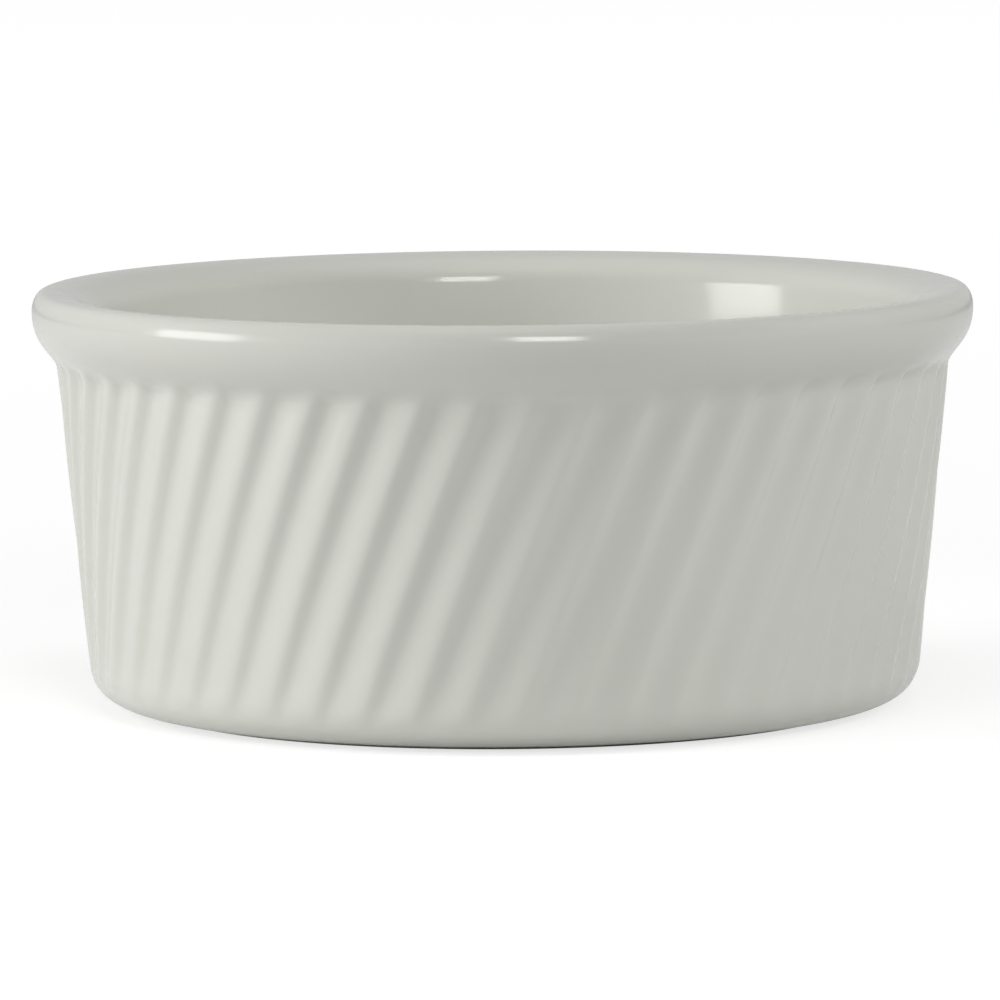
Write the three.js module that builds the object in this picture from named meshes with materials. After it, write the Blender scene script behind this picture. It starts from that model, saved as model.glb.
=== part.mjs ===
// Round souffle dish: one fired clay body with swirled ribs outside, glazed inside and out.
// Millimetres, +Z up, the foot stands on z = 0 and the axis of the dish is the Z axis.
import * as THREE from 'three';

// Sizes over the glaze.
const rimDiameter = 108;
const dishHeight = 48;

// Rolled rim: the crest stands in from the widest line, a long inner slope runs down to the wall
// and a short skirt turns back under the bead into a cove.
const rimCrestInset = 1.5;
const rimCrown = 2.3;
const rimSlopeWidth = 5.7;
const rimSlopeDrop = 3.4;
const rimSkirt = 6.8;
const rimOverhang = 2.86;

// Wall, measured over the ribs: taper is what each side leans in between the cove and the base corner.
const wallTaper = 3.25;
const wallThickness = 5.4;
const baseCornerHeight = 4.75;
const innerCornerRadius = 7;
const floorHeight = 5.9;

// Ribs round the outside, leaning to the right as they climb. One crest crosses the middle of the wall
// this many degrees to the right of the front. The right flank of a rib is the steeper one and takes this
// share of the pitch. A fullness of 2 makes even waves of the flanks, more makes a narrower crest.
const ribCount = 51;
const ribLean = 21.8;
const ribFront = 3;
const ribSteepShare = 0.34;
const ribFullness = 2.2;

// Grooves between the ribs: deeper towards the top, where they die into the cove under the rim.
// At the foot they run out gently above the base corner.
const grooveTopDepth = 0.8;
const grooveFootDepth = 0.46;
const grooveTopDrop = 7.2;
const grooveTopRun = 2;
const grooveFootHeight = 2.7;
const grooveFootRun = 5.7;

// Foot ring: bare clay, standing in from the foot of the wall, with a glazed recess inside it.
const footInset = 6.75;
const footWidth = 2.8;
const footEdge = 0.15;
const ledgeHeight = 0.45;
const ledgeWidth = 0.3;
const recessHeight = 1.3;
const recessFillet = 0.8;

// Glaze.
const glazeThickness = 0.4;
const glazeLine = 0.2;

// How far each end of a curve keeps its direction, as a share of the curve's width or height.
const slopeFootPull = 0.75;
const slopeCrestPull = 0.45;
const skirtTopPull = 0.6;
const skirtFootPull = 0.33;
const cornerTopPull = 0.63;
const cornerEndPull = 0.62;

// Facets round the dish: plain rings, and facets to each rib.
const glazeFacets = 64;
const bodyFacets = 34;
const glazeFacetsPerRib = 5;
const bodyFacetsPerRib = 3;

// Heights and radii that follow from the sizes above.
const rimRadius = rimDiameter / 2;
const crestRadius = rimRadius - rimCrestInset;
const widestZ = dishHeight - rimCrown;
const coveZ = widestZ - rimSkirt;
const wallTopRadius = rimRadius - rimOverhang;
const wallBaseRadius = wallTopRadius - wallTaper;
const cornerTopZ = ledgeHeight + baseCornerHeight;
const innerTopRadius = crestRadius - rimSlopeWidth;
const innerTopZ = dishHeight - rimSlopeDrop;
const innerBaseRadius = wallBaseRadius - wallThickness;
const footRadius = wallBaseRadius - footInset;
const footInnerRadius = footRadius - footWidth;
const cornerEndRadius = footRadius + glazeThickness + ledgeWidth;

const wallLean = wallTaper / (coveZ - cornerTopZ);
const grooveTopZ = dishHeight - grooveTopDrop;
const grooveFullZ = grooveFootHeight + grooveFootRun;
const ribMidZ = (coveZ + cornerTopZ) / 2;
const ribMidRadius = (wallTopRadius + wallBaseRadius) / 2;
const ribPitch = (2 * Math.PI) / ribCount;
const ribTwist = Math.tan(THREE.MathUtils.degToRad(ribLean)) / ribMidRadius;
const ribStart = THREE.MathUtils.degToRad(ribFront - 90);

const v2 = (x, y) => new THREE.Vector2(x, y);

// The inner wall meets the floor in a fillet that touches both.
function insideCurves() {
  const lean = Math.atan2(innerTopRadius - innerBaseRadius, innerTopZ - floorHeight);
  const turn = Math.PI / 2 - lean;
  const tangent = innerCornerRadius * Math.tan(turn / 2);
  const centre = v2(innerBaseRadius - tangent, floorHeight + innerCornerRadius);
  const floorLine = new THREE.LineCurve(v2(0, floorHeight), v2(centre.x, floorHeight));
  const fillet = new THREE.EllipseCurve(centre.x, centre.y, innerCornerRadius, innerCornerRadius,
    -Math.PI / 2, -lean);
  const wall = new THREE.LineCurve(fillet.getPoint(1), v2(innerTopRadius, innerTopZ));
  const rise = wall.getTangent(0).multiplyScalar(rimSlopeDrop * slopeFootPull);
  const slope = new THREE.CubicBezierCurve(
    v2(innerTopRadius, innerTopZ),
    v2(innerTopRadius, innerTopZ).add(rise),
    v2(crestRadius - rimSlopeWidth * slopeCrestPull, dishHeight),
    v2(crestRadius, dishHeight),
  );
  return [
    { curve: floorLine, rows: 1 },
    { curve: fillet, rows: 3 },
    { curve: wall, rows: 1 },
    { curve: slope, rows: 3 },
  ];
}

// From the crest of the rim down the outside, over the crests of the ribs, to the foot.
function outsideCurves() {
  const crown = new THREE.EllipseCurve(crestRadius, widestZ, rimCrestInset, rimCrown, Math.PI / 2, 0, true);
  const wallTop = v2(wallTopRadius, coveZ);
  const wallBase = v2(wallBaseRadius, cornerTopZ);
  const wallLow = v2(wallBaseRadius + wallLean * (grooveFullZ - cornerTopZ), grooveFullZ);
  const skirtRise = rimSkirt * skirtFootPull;
  const skirt = new THREE.CubicBezierCurve(
    v2(rimRadius, widestZ),
    v2(rimRadius, widestZ - rimSkirt * skirtTopPull),
    v2(wallTopRadius + wallLean * skirtRise, coveZ + skirtRise),
    wallTop,
  );
  const cornerFall = baseCornerHeight * cornerTopPull;
  const cornerWidth = wallBaseRadius - cornerEndRadius;
  const corner = new THREE.CubicBezierCurve(
    wallBase,
    v2(wallBaseRadius - wallLean * cornerFall, cornerTopZ - cornerFall),
    v2(cornerEndRadius + cornerWidth * cornerEndPull, ledgeHeight),
    v2(cornerEndRadius, ledgeHeight),
  );
  const footSideTop = v2(footRadius + glazeThickness, ledgeHeight);
  const footSideEnd = v2(footRadius + glazeThickness, glazeLine);
  return [
    { curve: crown, rows: 3 },
    { curve: skirt, rows: 5, ribbedFrom: 3 },
    { curve: new THREE.LineCurve(wallTop, wallLow), rows: 2, ribbedFrom: 0 },
    { curve: new THREE.LineCurve(wallLow, wallBase), rows: 1, ribbedFrom: 0 },
    { curve: corner, rows: 5, ribbedTo: 2 },
    { curve: new THREE.LineCurve(v2(cornerEndRadius, ledgeHeight), footSideTop), rows: 1 },
    { curve: new THREE.LineCurve(footSideTop, footSideEnd), rows: 1 },
  ];
}

// Points along the whole section, each marked where the ribs can reach it.
function sectionPoints() {
  const points = [];
  for (const part of [...insideCurves(), ...outsideCurves()]) {
    const first = points.length ? 1 : 0;
    for (let row = first; row <= part.rows; row += 1) {
      const at = part.curve.getPoint(row / part.rows);
      const ribbed = row >= (part.ribbedFrom ?? Infinity) || row <= (part.ribbedTo ?? -1);
      points.push({ r: at.x, z: at.y, ribbed });
    }
  }
  return points;
}

// The same section sunk into the dish by one thickness of glaze: the surface of the clay.
function sunkPoints(points, depth) {
  const normalOf = (from, to) => v2(to.z - from.z, from.r - to.r).normalize().negate();
  return points.map((point, i) => {
    const before = normalOf(points[Math.max(i - 1, 0)], points[Math.max(i, 1)]);
    const last = points.length - 1;
    const after = normalOf(points[Math.min(i, last - 1)], points[Math.min(i + 1, last)]);
    const miter = before.clone().add(after).multiplyScalar(depth / (1 + before.dot(after)));
    return { r: point.r - miter.x, z: point.z - miter.y, ribbed: point.ribbed };
  });
}

// How deep the surface lies below the crests of the ribs, at an angle and a height. The groove fades into
// the cove under the rim, and at the foot the floor of the groove comes up to the wall.
function grooveDepth(angle, z) {
  const crest = ribStart + ribTwist * (z - ribMidZ);
  const turns = (angle - crest) / ribPitch;
  const past = turns - Math.floor(turns);
  const across = Math.min(past / ribSteepShare, (1 - past) / (1 - ribSteepShare));
  const hollow = 1 - Math.pow(Math.cos((across * Math.PI) / 2), ribFullness);
  const foot = THREE.MathUtils.clamp((z - grooveFootHeight) / grooveFootRun, 0, 1);
  const runOut = 1 - (1 - foot) * (1 - foot);
  const cove = THREE.MathUtils.clamp((grooveTopZ - z) / grooveTopRun, 0, 1);
  const climb = (z - grooveFootHeight) / (grooveTopZ - grooveFootHeight);
  const deepest = THREE.MathUtils.lerp(grooveFootDepth, grooveTopDepth, climb);
  return deepest * hollow * runOut * cove;
}

// One ring of points round the axis. Rings in the ribbed zone turn with the ribs, a groove first.
function ringAt(point, facets, facetsPerRib) {
  const count = point.ribbed ? ribCount * facetsPerRib : facets;
  const start = point.ribbed ? ribStart + ribTwist * (point.z - ribMidZ) + ribSteepShare * ribPitch : 0;
  const ring = { start, points: [] };
  for (let i = 0; i < count; i += 1) {
    const angle = start + (i * 2 * Math.PI) / count;
    const r = point.r - (point.ribbed ? grooveDepth(angle, point.z) : 0);
    ring.points.push(new THREE.Vector3(r * Math.cos(angle), r * Math.sin(angle), point.z));
  }
  return ring;
}

// A surface through a row of section points. A point on the axis closes the surface there.
function skinRings(points, facets, facetsPerRib) {
  return points.map((point) => {
    if (point.r > 0) {
      return ringAt(point, facets, facetsPerRib);
    }
    return { start: 0, points: [new THREE.Vector3(0, 0, point.z)] };
  });
}

// Triangles between two rings. Rings of one count join point to point, so that the facets follow
// the ribs. Others are walked round side by side, and whichever is behind takes the next step.
function joinRings(below, above, triangles) {
  const a = below.points;
  const b = above.points;
  const fullTurn = 2 * Math.PI;
  const stepB = fullTurn / b.length;
  const same = a.length === b.length;
  const shift = same ? 0 : Math.round((below.start - above.start) / stepB);
  const lag = same ? 0 : above.start + shift * stepB - below.start;
  const pointA = (i) => a[i % a.length];
  const pointB = (j) => b[(((j + shift) % b.length) + b.length) % b.length];
  let i = 0;
  let j = 0;
  while (i < a.length || j < b.length) {
    const nextA = ((i + 0.5) * fullTurn) / a.length;
    const nextB = (j + 0.5) * stepB + lag;
    const stepOnA = j >= b.length || (i < a.length && nextA <= nextB);
    if (stepOnA) {
      triangles.push([pointA(i), pointB(j), pointA(i + 1)]);
      i += 1;
    } else {
      triangles.push([pointA(i), pointB(j), pointB(j + 1)]);
      j += 1;
    }
  }
}

// All the triangles of a surface, facing out of the dish.
function skinTriangles(rings) {
  const triangles = [];
  for (let k = 0; k + 1 < rings.length; k += 1) {
    joinRings(rings[k], rings[k + 1], triangles);
  }
  return triangles.filter(([p, q, s]) => p !== q && q !== s && s !== p);
}

// The same surface seen from its other side: where glaze lies on clay, both share one set of facets.
const turned = (triangles) => triangles.map(([p, q, s]) => [p, s, q]);

function solidFrom(name, triangles, material) {
  const positions = triangles.flatMap((corners) => corners.flatMap((p) => [p.x, p.y, p.z]));
  const geometry = new THREE.BufferGeometry();
  geometry.setAttribute('position', new THREE.Float32BufferAttribute(positions, 3));
  geometry.computeVertexNormals();
  const mesh = new THREE.Mesh(geometry, material);
  mesh.name = name;
  return mesh;
}

const plain = (r, z) => ({ r, z, ribbed: false });

const glazePoints = sectionPoints();
const clayPoints = sunkPoints(glazePoints, glazeThickness);
const claySkin = skinRings(clayPoints, bodyFacets, bodyFacetsPerRib);
const glazeSkin = skinRings(glazePoints, glazeFacets, glazeFacetsPerRib);

// Clay in the recess under the floor, from the glaze line inside the foot ring to the axis.
const recessPoints = [
  plain(footInnerRadius, glazeLine),
  plain(footInnerRadius, recessHeight - recessFillet),
  plain(footInnerRadius - recessFillet, recessHeight),
  plain(0, recessHeight),
];
const recessSkin = skinRings(recessPoints, bodyFacets, bodyFacetsPerRib);
const recessGlazeSkin = skinRings(sunkPoints(recessPoints, -glazeThickness), bodyFacets, bodyFacetsPerRib);

const footSkin = skinRings([
  plain(footRadius, footEdge),
  plain(footRadius - footEdge, 0),
  plain(footInnerRadius + footEdge, 0),
  plain(footInnerRadius, footEdge),
], bodyFacets, bodyFacetsPerRib);

const clay = new THREE.MeshStandardMaterial({ color: '#d9cfbd', roughness: 0.8, metalness: 0 });
const glaze = new THREE.MeshStandardMaterial({ color: '#dadbd3', roughness: 0.15, metalness: 0 });
const baseGlaze = new THREE.MeshStandardMaterial({ color: '#dadbd3', roughness: 0.15, metalness: 0 });

const bodyFaces = skinTriangles([...claySkin, ...footSkin, ...recessSkin]);
const coatFaces = [
  ...skinTriangles([...glazeSkin, claySkin.at(-1)]),
  ...turned(skinTriangles(claySkin)),
];
const baseFaces = [
  ...skinTriangles([recessSkin[0], ...recessGlazeSkin]),
  ...turned(skinTriangles(recessSkin)),
];

const dish = new THREE.Group();
dish.name = 'souffle_dish';
dish.add(solidFrom('ceramic_body', bodyFaces, clay));
dish.add(solidFrom('glaze_coat', coatFaces, glaze));
dish.add(solidFrom('base_glaze', baseFaces, baseGlaze));

export default dish;
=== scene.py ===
import math

import bpy
from mathutils import Matrix, Vector


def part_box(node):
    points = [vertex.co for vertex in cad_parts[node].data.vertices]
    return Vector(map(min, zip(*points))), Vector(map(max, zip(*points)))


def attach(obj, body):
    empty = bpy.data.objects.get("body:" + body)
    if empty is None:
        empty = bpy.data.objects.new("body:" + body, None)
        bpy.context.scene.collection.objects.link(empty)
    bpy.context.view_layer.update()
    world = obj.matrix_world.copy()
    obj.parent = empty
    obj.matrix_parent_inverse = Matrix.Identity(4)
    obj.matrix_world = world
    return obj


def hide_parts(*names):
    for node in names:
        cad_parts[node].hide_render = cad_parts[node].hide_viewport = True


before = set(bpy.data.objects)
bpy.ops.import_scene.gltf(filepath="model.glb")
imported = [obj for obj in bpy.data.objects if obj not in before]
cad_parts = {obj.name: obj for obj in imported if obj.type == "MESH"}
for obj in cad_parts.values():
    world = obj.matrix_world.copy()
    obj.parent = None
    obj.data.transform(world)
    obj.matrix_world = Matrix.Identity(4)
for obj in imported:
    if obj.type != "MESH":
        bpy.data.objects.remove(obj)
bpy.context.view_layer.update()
print("frame loaded:", ", ".join(sorted(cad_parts)))

mm = 0.001
weldReach = 0.002 * mm           # points closer than this become one
noiseReach = (0.3, 0.7)          # most of a noise texture lies between these
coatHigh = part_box("glaze_coat")[1]
rimRadius = coatHigh.x / mm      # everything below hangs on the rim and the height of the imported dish
dishHeight = coatHigh.z / mm


# small helpers for node trees
def addNode(tree, kind, **settings):
    node = tree.nodes.new(kind)
    for name, value in settings.items():
        setattr(node, name, value)
    return node


def plug(tree, socket, value):
    if isinstance(value, bpy.types.NodeSocket):
        tree.links.new(value, socket)
    else:
        socket.default_value = value


def calc(tree, operation, *values):
    node = addNode(tree, "ShaderNodeMath", operation=operation)
    for socket, value in zip(node.inputs, values):
        plug(tree, socket, value)
    return node.outputs[0]


def remap(tree, value, low, high, newLow, newHigh):
    node = addNode(tree, "ShaderNodeMapRange")
    given = {"Value": value, "From Min": low, "From Max": high, "To Min": newLow, "To Max": newHigh}
    for name, amount in given.items():
        plug(tree, node.inputs[name], amount)
    return node.outputs["Result"]


def mixColour(tree, factor, first, second):
    node = addNode(tree, "ShaderNodeMix", data_type="RGBA")
    plug(tree, node.inputs["Factor"], factor)
    for socket, value in zip([s for s in node.inputs if s.type == "RGBA"], (first, second)):
        plug(tree, socket, value)
    return [s for s in node.outputs if s.type == "RGBA"][0]


# outline of the dish in millimetres, as (radius, height) points
def lineRow(start, end, rows):
    return [start.lerp(end, i / rows) for i in range(1, rows + 1)]


def bezierRow(p0, p1, p2, p3, rows):
    row = []
    for i in range(1, rows + 1):
        t = i / rows
        s = 1 - t
        row.append(p0 * s ** 3 + p1 * 3 * s * s * t + p2 * 3 * s * t * t + p3 * t ** 3)
    return row


def arcRow(centre, radii, first, last, rows):
    row = []
    for i in range(1, rows + 1):
        angle = math.radians(first + (last - first) * i / rows)
        row.append(centre + Vector((radii[0] * math.cos(angle), radii[1] * math.sin(angle))))
    return row


outline = {
    "rimCrestInset": 1.5,
    "rimCrown": 2.3,
    "rimSlopeWidth": 5.7,
    "rimSlopeDrop": 3.4,
    "rimSkirt": 6.8,
    "rimOverhang": 2.86,
    "wallTaper": 3.25,
    "wallThickness": 5.4,   # over the ribs
    "baseCornerHeight": 4.75,
    "innerCornerRadius": 7.0,
    "floorHeight": 5.9,
    "ledgeHeight": 0.45,
    "ledgeWidth": 0.3,
    "footInset": 6.75,
    "footWidth": 2.8,
    "footEdge": 0.2,
    "recessHeight": 1.3,
    "recessFillet": 0.8,
    "glazeThickness": 0.4,
    "glazeLine": 0.2,
    # how far each end of a curve keeps its direction, as a share of the curve
    "slopePulls": (0.75, 0.45),
    "skirtPulls": (0.60, 0.33),
    "cornerPulls": (0.63, 0.62),
}

# rows of points along each stretch of the outline
rowCounts = {
    "floor": 6,
    "innerCorner": 14,
    "innerWall": 10,
    "rimSlope": 16,
    "rimCrown": 12,
    "skirt": 18,
    "wall": 28,
    "baseCorner": 20,
    "roundedEdge": 5,
    "recessFillet": 8,
    "hiddenStep": 3,     # under the glaze only every third row of the clay is kept
}

crestRadius = rimRadius - outline["rimCrestInset"]
widestZ = dishHeight - outline["rimCrown"]
coveZ = widestZ - outline["rimSkirt"]
wallTop = Vector((rimRadius - outline["rimOverhang"], coveZ))
wallBase = Vector((wallTop.x - outline["wallTaper"], outline["ledgeHeight"] + outline["baseCornerHeight"]))
wallLean = (wallTop - wallBase) / (wallTop.y - wallBase.y)     # along the wall, for each millimetre up
innerTop = Vector((crestRadius - outline["rimSlopeWidth"], dishHeight - outline["rimSlopeDrop"]))
innerBaseRadius = wallBase.x - outline["wallThickness"]
footRadius = wallBase.x - outline["footInset"]
footInnerRadius = footRadius - outline["footWidth"]

ribs = {
    "count": 51,
    "lean": 21.8,        # degrees off upright, climbing to the right
    "front": 3.0,        # degrees right of the front, where one crest crosses the middle of the wall
    "steepShare": 0.34,  # the right flank is the steeper one and takes this share of the pitch
    "fullness": 2.2,     # 2 makes plain waves of the flanks, more makes a narrower crest
    "facetsPerRib": 10,
    "unevenness": 0.03,  # slow wander of the surface, as on pressed and fired clay
    "wanderScale": 45.0,
    "wanderSeed": 4.0,
}
grooves = {
    "topDepth": 0.80,
    "footDepth": 0.46,
    "top": dishHeight - 7.2,     # here the grooves have died into the cove under the rim
    "topRun": 2.0,
    "foot": 2.7,                 # and here they have run out
    "footRun": 5.7,
}
ribMiddle = (wallTop + wallBase) / 2
ribTwist = math.tan(math.radians(ribs["lean"])) / ribMiddle.x     # radians for each millimetre of height


# inside: floor, fillet, wall and the long slope up to the crest of the rim
def insideOutline():
    floorZ = outline["floorHeight"]
    radius = outline["innerCornerRadius"]
    lean = math.atan2(innerTop.x - innerBaseRadius, innerTop.y - floorZ)
    tangent = radius * math.tan((math.pi / 2 - lean) / 2)
    centre = Vector((innerBaseRadius - tangent, floorZ + radius))
    row = [Vector((0.0, floorZ))]
    row += lineRow(row[-1], Vector((centre.x, floorZ)), rowCounts["floor"])
    row += arcRow(centre, (radius, radius), -90, -math.degrees(lean), rowCounts["innerCorner"])
    wallFoot = row[-1]
    row += lineRow(wallFoot, innerTop, rowCounts["innerWall"])
    footPull, crestPull = outline["slopePulls"]
    rise = (innerTop - wallFoot).normalized() * outline["rimSlopeDrop"] * footPull
    crest = Vector((crestRadius, dishHeight))
    level = Vector((outline["rimSlopeWidth"] * crestPull, 0))
    row += bezierRow(innerTop, innerTop + rise, crest - level, crest, rowCounts["rimSlope"])
    return row


# outside: crown of the rim, skirt and cove, wall over the ribs, base corner, ledge and foot
def outsideOutline():
    thick = outline["glazeThickness"]
    ledgeZ = outline["ledgeHeight"]
    cornerEnd = Vector((footRadius + thick + outline["ledgeWidth"], ledgeZ))
    crownCentre = Vector((crestRadius, widestZ))
    crownRadii = (outline["rimCrestInset"], outline["rimCrown"])
    row = arcRow(crownCentre, crownRadii, 90, 0, rowCounts["rimCrown"])
    topPull, footPull = outline["skirtPulls"]
    drop = Vector((0, outline["rimSkirt"] * topPull))
    rise = wallLean * outline["rimSkirt"] * footPull
    row += bezierRow(row[-1], row[-1] - drop, wallTop + rise, wallTop, rowCounts["skirt"])
    row += lineRow(wallTop, wallBase, rowCounts["wall"])
    topPull, endPull = outline["cornerPulls"]
    fall = wallLean * outline["baseCornerHeight"] * topPull
    reach = Vector(((wallBase.x - cornerEnd.x) * endPull, 0))
    row += bezierRow(wallBase, wallBase - fall, cornerEnd + reach, cornerEnd, rowCounts["baseCorner"])
    row += lineRow(cornerEnd, Vector((footRadius + thick, ledgeZ)), 1)
    row += lineRow(row[-1], Vector((footRadius + thick, outline["glazeLine"] + thick * 0.5)), 2)
    return row


# the same outline one thickness of glaze deeper: the surface of the clay
def sunkRow(row, depth):
    sunk = []
    for i, point in enumerate(row):
        before = row[max(i, 1)] - row[max(i, 1) - 1]
        after = row[min(i + 1, len(row) - 1)] - row[min(i + 1, len(row) - 1) - 1]
        a = Vector((-before.y, before.x)).normalized()
        b = Vector((-after.y, after.x)).normalized()
        sunk.append(point - (a + b) * depth / (1 + a.dot(b)))
    return sunk


# every few rows of a hidden surface are enough, with both ends kept
def thinned(row, step):
    return [p for i, p in enumerate(row) if i % step == 0 or i == len(row) - 1]


insideRow = insideOutline()
outsideRow = outsideOutline()
glazeRow = insideRow + outsideRow
clayRow = sunkRow(glazeRow, outline["glazeThickness"])
crestIndex = len(insideRow)
print("outline:", len(glazeRow), "points from the floor to the glaze line")


# spins an outline round the axis and sinks the grooves between the ribs where the outline is marked
def spinTree():
    tree = bpy.data.node_groups.new("spunDish", "GeometryNodeTree")
    face = tree.interface
    face.new_socket("Outline", in_out="INPUT", socket_type="NodeSocketGeometry")
    for name in ("Facets Around", "Rib Count"):
        face.new_socket(name, in_out="INPUT", socket_type="NodeSocketInt")
    for name in ("Rib Twist", "Rib Front", "Rib Middle", "Rib Steep Share", "Rib Fullness", "Groove Top",
                 "Groove Top Run", "Groove Top Depth", "Groove Foot", "Groove Foot Run", "Groove Foot Depth",
                 "Unevenness"):
        face.new_socket(name, in_out="INPUT", socket_type="NodeSocketFloat")
    face.new_socket("Finish", in_out="INPUT", socket_type="NodeSocketMaterial")
    face.new_socket("Dish", in_out="OUTPUT", socket_type="NodeSocketGeometry")
    given = addNode(tree, "NodeGroupInput").outputs
    made = addNode(tree, "NodeGroupOutput").inputs

    # a flat grid: X goes once round the dish, Y follows the outline point by point
    size = addNode(tree, "GeometryNodeAttributeDomainSize", component="MESH")
    tree.links.new(given["Outline"], size.inputs["Geometry"])
    grid = addNode(tree, "GeometryNodeMeshGrid")
    plug(tree, grid.inputs["Vertices X"], calc(tree, "ADD", given["Facets Around"], 1))
    plug(tree, grid.inputs["Vertices Y"], size.outputs["Point Count"])
    flat = addNode(tree, "ShaderNodeSeparateXYZ")
    tree.links.new(addNode(tree, "GeometryNodeInputPosition").outputs[0], flat.inputs[0])
    round01 = calc(tree, "ADD", flat.outputs["X"], 0.5)
    along01 = calc(tree, "ADD", flat.outputs["Y"], 0.5)
    lastPoint = calc(tree, "SUBTRACT", size.outputs["Point Count"], 1)
    pointIndex = calc(tree, "ROUND", calc(tree, "MULTIPLY", along01, lastPoint))

    # radius, height and rib mark of that outline point
    place = addNode(tree, "GeometryNodeSampleIndex", data_type="FLOAT_VECTOR", domain="POINT")
    tree.links.new(given["Outline"], place.inputs["Geometry"])
    tree.links.new(addNode(tree, "GeometryNodeInputPosition").outputs[0], place.inputs["Value"])
    tree.links.new(pointIndex, place.inputs["Index"])
    spot = addNode(tree, "ShaderNodeSeparateXYZ")
    tree.links.new(place.outputs["Value"], spot.inputs[0])
    mark = addNode(tree, "GeometryNodeInputNamedAttribute", data_type="FLOAT")
    mark.inputs["Name"].default_value = "ribbed"
    marked = addNode(tree, "GeometryNodeSampleIndex", data_type="FLOAT", domain="POINT")
    tree.links.new(given["Outline"], marked.inputs["Geometry"])
    tree.links.new(mark.outputs["Attribute"], marked.inputs["Value"])
    tree.links.new(pointIndex, marked.inputs["Index"])
    radius, height = spot.outputs["X"], spot.outputs["Z"]

    # the columns of the grid turn with the ribs, and the first of them climbs along a crest
    climb = calc(tree, "MULTIPLY", calc(tree, "SUBTRACT", height, given["Rib Middle"]), given["Rib Twist"])
    firstCrest = calc(tree, "ADD", given["Rib Front"], climb)
    angle = calc(tree, "ADD", calc(tree, "MULTIPLY", round01, 2 * math.pi), firstCrest)

    # how far off the crest of a rib this is: hollow is 0 on the crest and 1 in the groove
    past = calc(tree, "FRACT", calc(tree, "MULTIPLY", round01, given["Rib Count"]))
    steep = calc(tree, "DIVIDE", past, given["Rib Steep Share"])
    gentleShare = calc(tree, "SUBTRACT", 1.0, given["Rib Steep Share"])
    gentle = calc(tree, "DIVIDE", calc(tree, "SUBTRACT", 1.0, past), gentleShare)
    offCrest = calc(tree, "MINIMUM", steep, gentle)
    wave = calc(tree, "MAXIMUM", calc(tree, "COSINE", calc(tree, "MULTIPLY", offCrest, math.pi / 2)), 0.0)
    hollow = calc(tree, "SUBTRACT", 1.0, calc(tree, "POWER", wave, given["Rib Fullness"]))

    # the groove runs out gently at the foot, and at the top it fades into the cove
    overFoot = calc(tree, "SUBTRACT", height, given["Groove Foot"])
    foot = calc(tree, "DIVIDE", overFoot, given["Groove Foot Run"])
    short = calc(tree, "SUBTRACT", 1.0, calc(tree, "MINIMUM", calc(tree, "MAXIMUM", foot, 0.0), 1.0))
    cut = calc(tree, "MULTIPLY", hollow, calc(tree, "SUBTRACT", 1.0, calc(tree, "MULTIPLY", short, short)))
    underTop = calc(tree, "SUBTRACT", given["Groove Top"], height)
    toTop = calc(tree, "DIVIDE", underTop, given["Groove Top Run"])
    cove = calc(tree, "MINIMUM", calc(tree, "MAXIMUM", toTop, 0.0), 1.0)
    whole = calc(tree, "SUBTRACT", given["Groove Top"], given["Groove Foot"])
    deeper = calc(tree, "SUBTRACT", given["Groove Top Depth"], given["Groove Foot Depth"])
    gain = calc(tree, "MULTIPLY", calc(tree, "DIVIDE", overFoot, whole), deeper)
    deepest = calc(tree, "ADD", given["Groove Foot Depth"], gain)
    share = calc(tree, "MULTIPLY", calc(tree, "MULTIPLY", cut, cove), marked.outputs["Value"])

    # slow wander of the fired clay, from noise that closes on itself round the dish
    cosine, sine = calc(tree, "COSINE", angle), calc(tree, "SINE", angle)
    bare = addNode(tree, "ShaderNodeCombineXYZ")
    plug(tree, bare.inputs["X"], calc(tree, "MULTIPLY", radius, cosine))
    plug(tree, bare.inputs["Y"], calc(tree, "MULTIPLY", radius, sine))
    plug(tree, bare.inputs["Z"], height)
    wander = addNode(tree, "ShaderNodeTexNoise", noise_dimensions="4D")
    tree.links.new(bare.outputs[0], wander.inputs["Vector"])
    wander.inputs["W"].default_value = ribs["wanderSeed"]
    wander.inputs["Scale"].default_value = ribs["wanderScale"]
    wander.inputs["Detail"].default_value = 1.0
    drift = calc(tree, "MULTIPLY", calc(tree, "SUBTRACT", wander.outputs[0], 0.5), given["Unevenness"])
    # none of it at the axis, all of it from 10 mm out
    fade = calc(tree, "MINIMUM", calc(tree, "MULTIPLY", radius, 100.0), 1.0)
    drift = calc(tree, "MULTIPLY", drift, fade)

    depth = calc(tree, "MULTIPLY", share, deepest)
    sunken = calc(tree, "SUBTRACT", calc(tree, "ADD", radius, drift), depth)
    spun = addNode(tree, "ShaderNodeCombineXYZ")
    plug(tree, spun.inputs["X"], calc(tree, "MULTIPLY", sunken, cosine))
    plug(tree, spun.inputs["Y"], calc(tree, "MULTIPLY", sunken, sine))
    plug(tree, spun.inputs["Z"], height)

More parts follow.
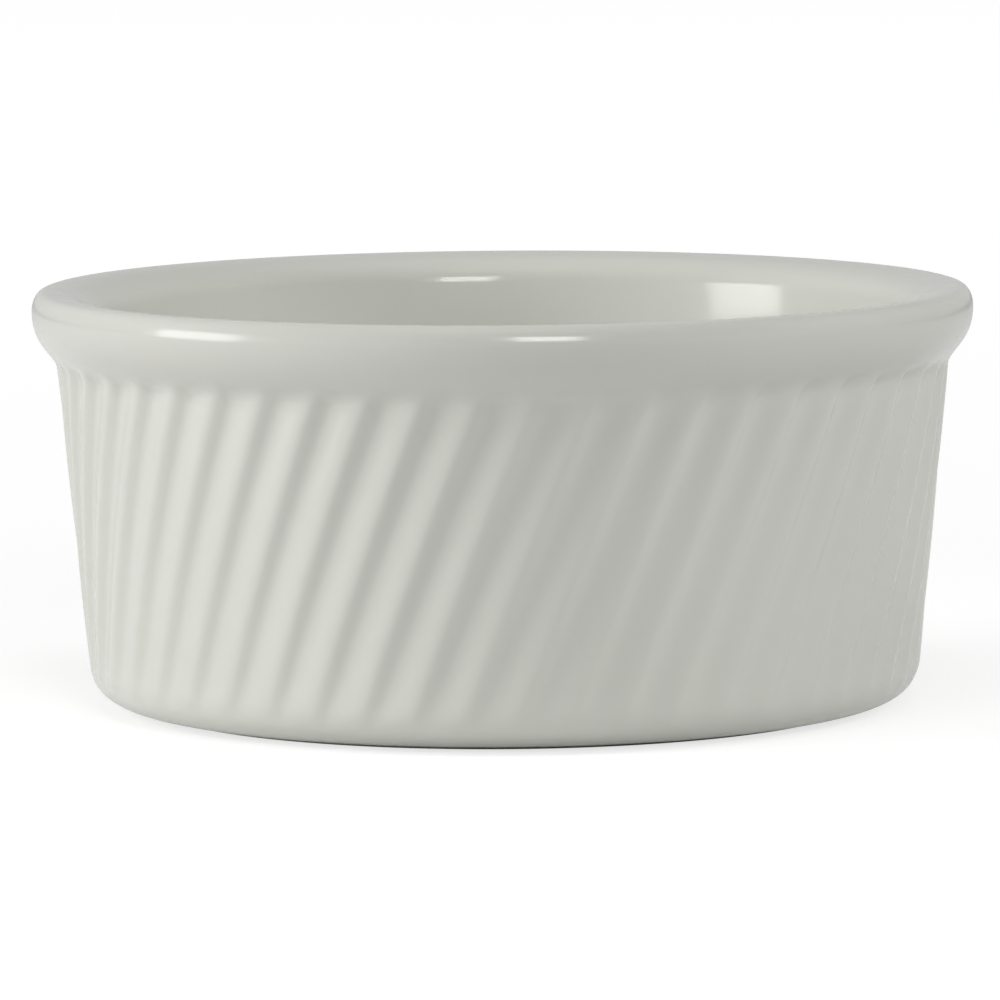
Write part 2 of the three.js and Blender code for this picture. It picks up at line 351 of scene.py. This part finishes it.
    # keep the unrolled grid as UVs, then wrap the grid and weld its seams
    unrolled = addNode(tree, "ShaderNodeCombineXYZ")
    plug(tree, unrolled.inputs["X"], round01)
    plug(tree, unrolled.inputs["Y"], along01)
    keepUv = addNode(tree, "GeometryNodeStoreNamedAttribute", data_type="FLOAT2", domain="CORNER")
    keepUv.inputs["Name"].default_value = "unrolled"
    tree.links.new(grid.outputs["Mesh"], keepUv.inputs["Geometry"])
    tree.links.new(unrolled.outputs[0], keepUv.inputs["Value"])
    wrap = addNode(tree, "GeometryNodeSetPosition")
    tree.links.new(keepUv.outputs["Geometry"], wrap.inputs["Geometry"])
    tree.links.new(spun.outputs[0], wrap.inputs["Position"])
    weld = addNode(tree, "GeometryNodeMergeByDistance")
    weld.inputs["Distance"].default_value = weldReach
    tree.links.new(wrap.outputs["Geometry"], weld.inputs["Geometry"])
    smooth = addNode(tree, "GeometryNodeSetShadeSmooth")
    tree.links.new(weld.outputs["Geometry"], smooth.inputs["Geometry"])
    real = addNode(tree, "GeometryNodeRealizeInstances")
    tree.links.new(smooth.outputs[0], real.inputs["Geometry"])
    paint = addNode(tree, "GeometryNodeSetMaterial")
    tree.links.new(real.outputs[0], paint.inputs["Geometry"])
    tree.links.new(given["Finish"], paint.inputs["Material"])
    tree.links.new(paint.outputs[0], made["Dish"])
    return tree


# one piece of the dish: an outline with both ends on the axis, spun by the tree and made a plain mesh
def spinPiece(name, row, ribbed, facets, tree, finish):
    wire = bpy.data.meshes.new(name + "Outline")
    points = [(p.x * mm, 0, p.y * mm) for p in row]
    wire.from_pydata(points, [(i, i + 1) for i in range(len(points) - 1)], [])
    marks = wire.attributes.new("ribbed", "FLOAT", "POINT")
    marks.data.foreach_set("value", [1.0 if flag else 0.0 for flag in ribbed])
    maker = bpy.data.objects.new(name + "Maker", wire)
    bpy.context.scene.collection.objects.link(maker)
    spin = maker.modifiers.new("spin", "NODES")
    spin.node_group = tree
    values = {
        "Facets Around": facets,
        "Rib Count": ribs["count"],
        "Rib Twist": ribTwist / mm,
        "Rib Front": math.radians(ribs["front"] - 90),
        "Rib Middle": ribMiddle.y * mm,
        "Rib Steep Share": ribs["steepShare"],
        "Rib Fullness": ribs["fullness"],
        "Groove Top": grooves["top"] * mm,
        "Groove Top Run": grooves["topRun"] * mm,
        "Groove Top Depth": grooves["topDepth"] * mm,
        "Groove Foot": grooves["foot"] * mm,
        "Groove Foot Run": grooves["footRun"] * mm,
        "Groove Foot Depth": grooves["footDepth"] * mm,
        "Unevenness": ribs["unevenness"] * mm,
        "Finish": finish,
    }
    for item in tree.interface.items_tree:
        if item.in_out == "INPUT" and item.name in values:
            spin[item.identifier] = values[item.name]
    depsgraph = bpy.context.evaluated_depsgraph_get()
    mesh = bpy.data.meshes.new_from_object(maker.evaluated_get(depsgraph))
    maker.modifiers.remove(spin)
    bpy.data.objects.remove(maker)
    bpy.data.meshes.remove(wire)
    mesh.name = name
    piece = bpy.data.objects.new(name, mesh)
    bpy.context.scene.collection.objects.link(piece)
    print(name, "made:", len(mesh.vertices), "points,", len(mesh.polygons), "faces")
    return piece


glazeLook = {
    "colour": (0.70, 0.705, 0.65, 1),
    "clouded": (0.69, 0.697, 0.638, 1),   # a shade deeper in slow patches
    "rimTone": (0.66, 0.665, 0.613, 1),      # and a little darker over the rim
    "rimToneHeight": (coveZ - 1, coveZ + 2),
    "rimToneRadius": (innerTop.x, innerTop.x + 3),
    "roughness": (0.13, 0.18),
    "cloudScale": 60.0,
    "glossScale": 220.0,
    "rippleScale": 160.0,
    "rippleStrength": 0.12,
    "rippleHeight": 0.06,
    "ior": 1.5,
}


# off-white glaze: even and glossy, with slow clouds of tone and a faint ripple from the melt
def glazeFinish():
    material = bpy.data.materials.new("offWhiteGlaze")
    material.use_nodes = True
    tree = material.node_tree
    shader = tree.nodes["Principled BSDF"]
    coords = addNode(tree, "ShaderNodeTexCoord").outputs["Object"]

    cloud = addNode(tree, "ShaderNodeTexNoise")
    tree.links.new(coords, cloud.inputs["Vector"])
    cloud.inputs["Scale"].default_value = glazeLook["cloudScale"]
    cloud.inputs["Detail"].default_value = 3.0
    clouds = remap(tree, cloud.outputs[0], *noiseReach, 0.0, 1.0)
    thick = mixColour(tree, clouds, glazeLook["colour"], glazeLook["clouded"])
    spot = addNode(tree, "ShaderNodeSeparateXYZ")
    tree.links.new(coords, spot.inputs[0])
    radius = calc(tree, "SQRT", calc(tree, "ADD", calc(tree, "POWER", spot.outputs["X"], 2.0),
                                     calc(tree, "POWER", spot.outputs["Y"], 2.0)))
    # darker tone over the rim: above the cove and out from the foot of the inner slope
    low, high = (z * mm for z in glazeLook["rimToneHeight"])
    near, far = (r * mm for r in glazeLook["rimToneRadius"])
    onRim = calc(tree, "MULTIPLY", remap(tree, spot.outputs["Z"], low, high, 0.0, 1.0),
                 remap(tree, radius, near, far, 0.0, 1.0))
    tree.links.new(mixColour(tree, onRim, thick, glazeLook["rimTone"]), shader.inputs["Base Color"])

    gloss = addNode(tree, "ShaderNodeTexNoise")
    tree.links.new(coords, gloss.inputs["Vector"])
    gloss.inputs["Scale"].default_value = glazeLook["glossScale"]
    rough = remap(tree, gloss.outputs[0], *noiseReach, *glazeLook["roughness"])
    tree.links.new(rough, shader.inputs["Roughness"])

    ripple = addNode(tree, "ShaderNodeTexNoise")
    tree.links.new(coords, ripple.inputs["Vector"])
    ripple.inputs["Scale"].default_value = glazeLook["rippleScale"]
    ripple.inputs["Detail"].default_value = 1.0
    bump = addNode(tree, "ShaderNodeBump")
    bump.inputs["Strength"].default_value = glazeLook["rippleStrength"]
    bump.inputs["Distance"].default_value = glazeLook["rippleHeight"] * mm
    tree.links.new(ripple.outputs[0], bump.inputs["Height"])
    tree.links.new(bump.outputs[0], shader.inputs["Normal"])
    shader.inputs["IOR"].default_value = glazeLook["ior"]
    return material


clayLook = {
    "colour": (0.69, 0.62, 0.51, 1),
    "grain": (0.58, 0.50, 0.39, 1),
    "grainScale": 1800.0,
    "grainSteps": (0.38, 0.55),
    "roughness": (0.7, 0.9),
    "bumpStrength": 0.5,
    "bumpHeight": 0.05,
}


# bare fired clay on the foot: dry, fine-grained, a few darker grains
def clayFinish():
    material = bpy.data.materials.new("bareClay")
    material.use_nodes = True
    tree = material.node_tree
    shader = tree.nodes["Principled BSDF"]
    coords = addNode(tree, "ShaderNodeTexCoord").outputs["Object"]
    grains = addNode(tree, "ShaderNodeTexNoise")
    tree.links.new(coords, grains.inputs["Vector"])
    grains.inputs["Scale"].default_value = clayLook["grainScale"]
    grains.inputs["Detail"].default_value = 4.0
    ramp = addNode(tree, "ShaderNodeValToRGB")
    tones = (clayLook["grain"], clayLook["colour"])
    for stop, place, tone in zip(ramp.color_ramp.elements, clayLook["grainSteps"], tones):
        stop.position = place
        stop.color = tone
    tree.links.new(grains.outputs[0], ramp.inputs["Fac"])
    tree.links.new(ramp.outputs["Color"], shader.inputs["Base Color"])
    rough = remap(tree, grains.outputs[0], *noiseReach, *clayLook["roughness"])
    tree.links.new(rough, shader.inputs["Roughness"])
    bump = addNode(tree, "ShaderNodeBump")
    bump.inputs["Strength"].default_value = clayLook["bumpStrength"]
    bump.inputs["Distance"].default_value = clayLook["bumpHeight"] * mm
    tree.links.new(grains.outputs[0], bump.inputs["Height"])
    tree.links.new(bump.outputs[0], shader.inputs["Normal"])
    return material


glaze = glazeFinish()
clay = clayFinish()
dishTree = spinTree()
facetsAround = ribs["count"] * ribs["facetsPerRib"]
plainFacets = 256      # for the patch under the floor, which has no ribs
edgeRows = rowCounts["roundedEdge"]
hiddenStep = rowCounts["hiddenStep"]


# main coat: out along the glass, round its edge at the foot, and back along the clay
def makeGlazeCoat():
    edge = glazeRow[-1]
    half = outline["glazeThickness"] / 2
    rolled = arcRow(edge - Vector((half, 0)), (half, half), 0, -180, edgeRows)
    back = list(reversed(thinned(clayRow, hiddenStep)))
    row = glazeRow + rolled + back[1:]
    ribbed = [i >= crestIndex for i in range(len(glazeRow))] + [False] * len(rolled)
    clayMarks = [i >= crestIndex for i in range(len(clayRow))]
    ribbed += list(reversed(thinned(clayMarks, hiddenStep)))[1:]
    piece = spinPiece("glazeCoat", row, ribbed, facetsAround, dishTree, glaze)
    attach(piece, "root")
    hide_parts("glaze_coat")
    return piece


# recess under the floor, from the glaze line inside the foot ring to the axis
def recessRow():
    top, fillet = outline["recessHeight"], outline["recessFillet"]
    start = Vector((footInnerRadius, outline["glazeLine"] + outline["glazeThickness"] * 0.5))
    row = [start, Vector((footInnerRadius, top - fillet))]
    centre = Vector((footInnerRadius - fillet, top - fillet))
    row += arcRow(centre, (fillet, fillet), 0, 90, rowCounts["recessFillet"])
    row += lineRow(row[-1], Vector((0.0, top)), rowCounts["floor"])
    return row


# clay: under the coat, then the bare foot ring and the recess
def makeClayBody():
    flat = outline["footEdge"]
    foot = arcRow(Vector((footRadius - flat, flat)), (flat, flat), 0, -90, edgeRows)
    foot = [Vector((footRadius, flat))] + foot
    inner = arcRow(Vector((footInnerRadius + flat, flat)), (flat, flat), -90, -180, edgeRows)
    inner = [Vector((footInnerRadius + flat, 0.0))] + inner
    upper = thinned(clayRow, hiddenStep)
    row = upper + foot + inner + recessRow()
    ribbed = thinned([i >= crestIndex for i in range(len(clayRow))], hiddenStep)
    ribbed += [False] * (len(row) - len(upper))
    piece = spinPiece("clayBody", row, ribbed, facetsAround, dishTree, clay)
    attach(piece, "root")
    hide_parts("ceramic_body")
    return piece


def makeBaseGlaze():
    inner = recessRow()
    outer = sunkRow(inner, -outline["glazeThickness"])
    half = outline["glazeThickness"] / 2
    rolled = arcRow(inner[0] - Vector((half, 0)), (half, half), 0, -180, edgeRows)
    row = list(reversed(inner)) + rolled + outer[1:]
    piece = spinPiece("baseGlaze", row, [False] * len(row), plainFacets, dishTree, glaze)
    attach(piece, "root")
    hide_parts("base_glaze")
    return piece


makeGlazeCoat()
makeClayBody()
makeBaseGlaze()


# camera: a long lens a little above the rim, fitted to the outline of the dish in the photo
view = {
    "elevation": 6.16,
    "distance": 960.3,
    "roll": 0.39,
    "targetHeight": 23.4,
    "pixelsPerMm": 8.685,
    "frame": 1000,
    "sensor": 36,
    "target": (503.7, 499.1),
}


def makeCamera():
    tilt, roll = math.radians(view["elevation"]), math.radians(view["roll"])
    forward = Vector((0, math.cos(tilt), -math.sin(tilt)))
    level = Vector((1, 0, 0))
    upright = Vector((0, math.sin(tilt), math.cos(tilt)))
    right = level * math.cos(roll) - upright * math.sin(roll)
    up = level * math.sin(roll) + upright * math.cos(roll)
    turn = Matrix((right, up, -forward)).transposed().to_4x4()
    place = Vector((0, 0, view["targetHeight"])) - forward * view["distance"]
    lens = bpy.data.cameras.new("camera")
    lens.sensor_width = view["sensor"]
    lens.lens = view["sensor"] * view["pixelsPerMm"] * view["distance"] / view["frame"]
    lens.shift_x = 0.5 - view["target"][0] / view["frame"]
    lens.shift_y = view["target"][1] / view["frame"] - 0.5
    lens.clip_start, lens.clip_end = 0.01, 50
    camera = bpy.data.objects.new("camera", lens)
    camera.matrix_world = Matrix.Translation(place * mm) @ turn
    bpy.context.scene.collection.objects.link(camera)
    bpy.context.scene.camera = camera


makeCamera()

# lamps a metre from the dish: degrees to the right of the camera and degrees above the table
# two of them are mirrored in the glaze, the rest are large soft panels that only add shading
lamps = [
    {"name": "leftSoftbox", "mirrored": True,
     "azimuth": -77.6, "elevation": 10, "wide": 0.44, "tall": 0.37, "watts": 2.9},
    {"name": "frontLamp", "mirrored": True,
     "azimuth": 11, "elevation": 27, "wide": 0.26, "tall": 0.30, "watts": 2.3},
    {"name": "leftFill", "mirrored": False,
     "azimuth": -85, "elevation": 26, "wide": 0.5, "tall": 0.5, "watts": 4.0},
    {"name": "topFill", "mirrored": False,
     "azimuth": 0, "elevation": 75, "wide": 0.5, "tall": 0.5, "watts": 2.9},
    {"name": "rightFill", "mirrored": False,
     "azimuth": 90, "elevation": 26, "wide": 0.5, "tall": 0.5, "watts": 3.5},
]


def makeLamp(lamp):
    azimuth, elevation = math.radians(lamp["azimuth"]), math.radians(lamp["elevation"])
    level = Vector((math.sin(azimuth), -math.cos(azimuth), 0))
    out = level * math.cos(elevation) + Vector((0, 0, math.sin(elevation)))
    light = bpy.data.lights.new(lamp["name"], "AREA")
    light.shape = "RECTANGLE"
    light.size, light.size_y = lamp["wide"], lamp["tall"]
    light.energy = lamp["watts"]
    holder = bpy.data.objects.new(lamp["name"], light)
    holder.location = out + Vector((0, 0, view["targetHeight"] * mm))
    holder.rotation_euler = out.to_track_quat("Z", "Y").to_euler()
    holder.visible_glossy = lamp["mirrored"]
    bpy.context.scene.collection.objects.link(holder)


for lamp in lamps:
    makeLamp(lamp)

studio = {
    "backdrop": 0.9,
    # what the glaze mirrors: an even backdrop behind, and in front a dim room with a bright horizon
    "roomBehind": 0.6,
    "roomAhead": (1.2, 0.2),
    "roomReach": (0.05, 0.3),    # sine of the height where the horizon passes into the room
    "turnReach": (-0.3, 0.3),    # and towards the back, where the room passes into the backdrop
    "floorBounce": 0.82,
    "floorSeen": 0.4,            # the same floor in the picture, so that its shadows stay faint
    "floorLift": (0.72, 0.97),   # brings the lit floor up to white, near the dish and far behind it
    "liftReach": (0.15, 0.9),
    # the floor in the glaze: pale behind the dish, and in front pale near it and dark further off
    "liftBehind": 0.3,
    "liftAhead": (0.2, 0.0),
    "aheadReach": (0.2, 0.4),
    "sideReach": (-0.06, 0.06),
    "floorRadius": 6.0,
    "floorSides": 96,
    "floorRoughness": 0.9,
}


# brightness for rays that show the background straight or in the glaze
# rays that carry light to the dish get none
def shownBy(tree, straight, mirrored):
    path = addNode(tree, "ShaderNodeLightPath").outputs
    seen = calc(tree, "MAXIMUM", path["Is Camera Ray"], path["Is Transmission Ray"])
    return calc(tree, "MAXIMUM", calc(tree, "MULTIPLY", seen, straight),
                calc(tree, "MULTIPLY", path["Is Glossy Ray"], mirrored))


def makeWorld():
    world = bpy.data.worlds.new("paleRoom")
    bpy.context.scene.world = world
    world.use_nodes = True
    tree = world.node_tree
    background = tree.nodes["Background"]
    background.inputs["Color"].default_value = (1, 1, 1, 1)
    toward = addNode(tree, "ShaderNodeSeparateXYZ")
    tree.links.new(addNode(tree, "ShaderNodeTexCoord").outputs["Generated"], toward.inputs[0])
    ahead = remap(tree, toward.outputs["Z"], *studio["roomReach"], *studio["roomAhead"])
    room = remap(tree, toward.outputs["Y"], *studio["turnReach"], ahead, studio["roomBehind"])
    tree.links.new(shownBy(tree, studio["backdrop"], room), background.inputs["Strength"])


# pale floor, lifted to white where it is seen and keeping the shadow of the dish
def floorFinish():
    material = bpy.data.materials.new("paleFloor")
    material.use_nodes = True
    tree = material.node_tree
    shader = tree.nodes["Principled BSDF"]
    cameraRay = addNode(tree, "ShaderNodeLightPath").outputs["Is Camera Ray"]
    shade = remap(tree, cameraRay, 0, 1, studio["floorBounce"], studio["floorSeen"])
    tree.links.new(shade, shader.inputs["Base Color"])
    shader.inputs["Roughness"].default_value = studio["floorRoughness"]
    shader.inputs["Specular IOR Level"].default_value = 0.0
    coords = addNode(tree, "ShaderNodeTexCoord").outputs["Object"]
    away = addNode(tree, "ShaderNodeVectorMath", operation="LENGTH")
    tree.links.new(coords, away.inputs[0])
    straight = remap(tree, away.outputs["Value"], *studio["liftReach"], *studio["floorLift"])
    spot = addNode(tree, "ShaderNodeSeparateXYZ")
    tree.links.new(coords, spot.inputs[0])
    ahead = remap(tree, away.outputs["Value"], *studio["aheadReach"], *studio["liftAhead"])
    mirrored = remap(tree, spot.outputs["Y"], *studio["sideReach"], ahead, studio["liftBehind"])
    shader.inputs["Emission Color"].default_value = (1, 1, 1, 1)
    tree.links.new(shownBy(tree, straight, mirrored), shader.inputs["Emission Strength"])
    return material


def makeFloor():
    mesh = bpy.data.meshes.new("floor")
    sides, radius = studio["floorSides"], studio["floorRadius"]
    turns = [2 * math.pi * i / sides for i in range(sides)]
    ring = [(radius * math.cos(t), radius * math.sin(t), 0) for t in turns]
    mesh.from_pydata(ring, [], [list(range(sides))])
    mesh.materials.append(floorFinish())
    floor = bpy.data.objects.new("floor", mesh)
    bpy.context.scene.collection.objects.link(floor)


makeWorld()
makeFloor()
bpy.context.scene.view_settings.view_transform = "Standard"
print("studio ready")
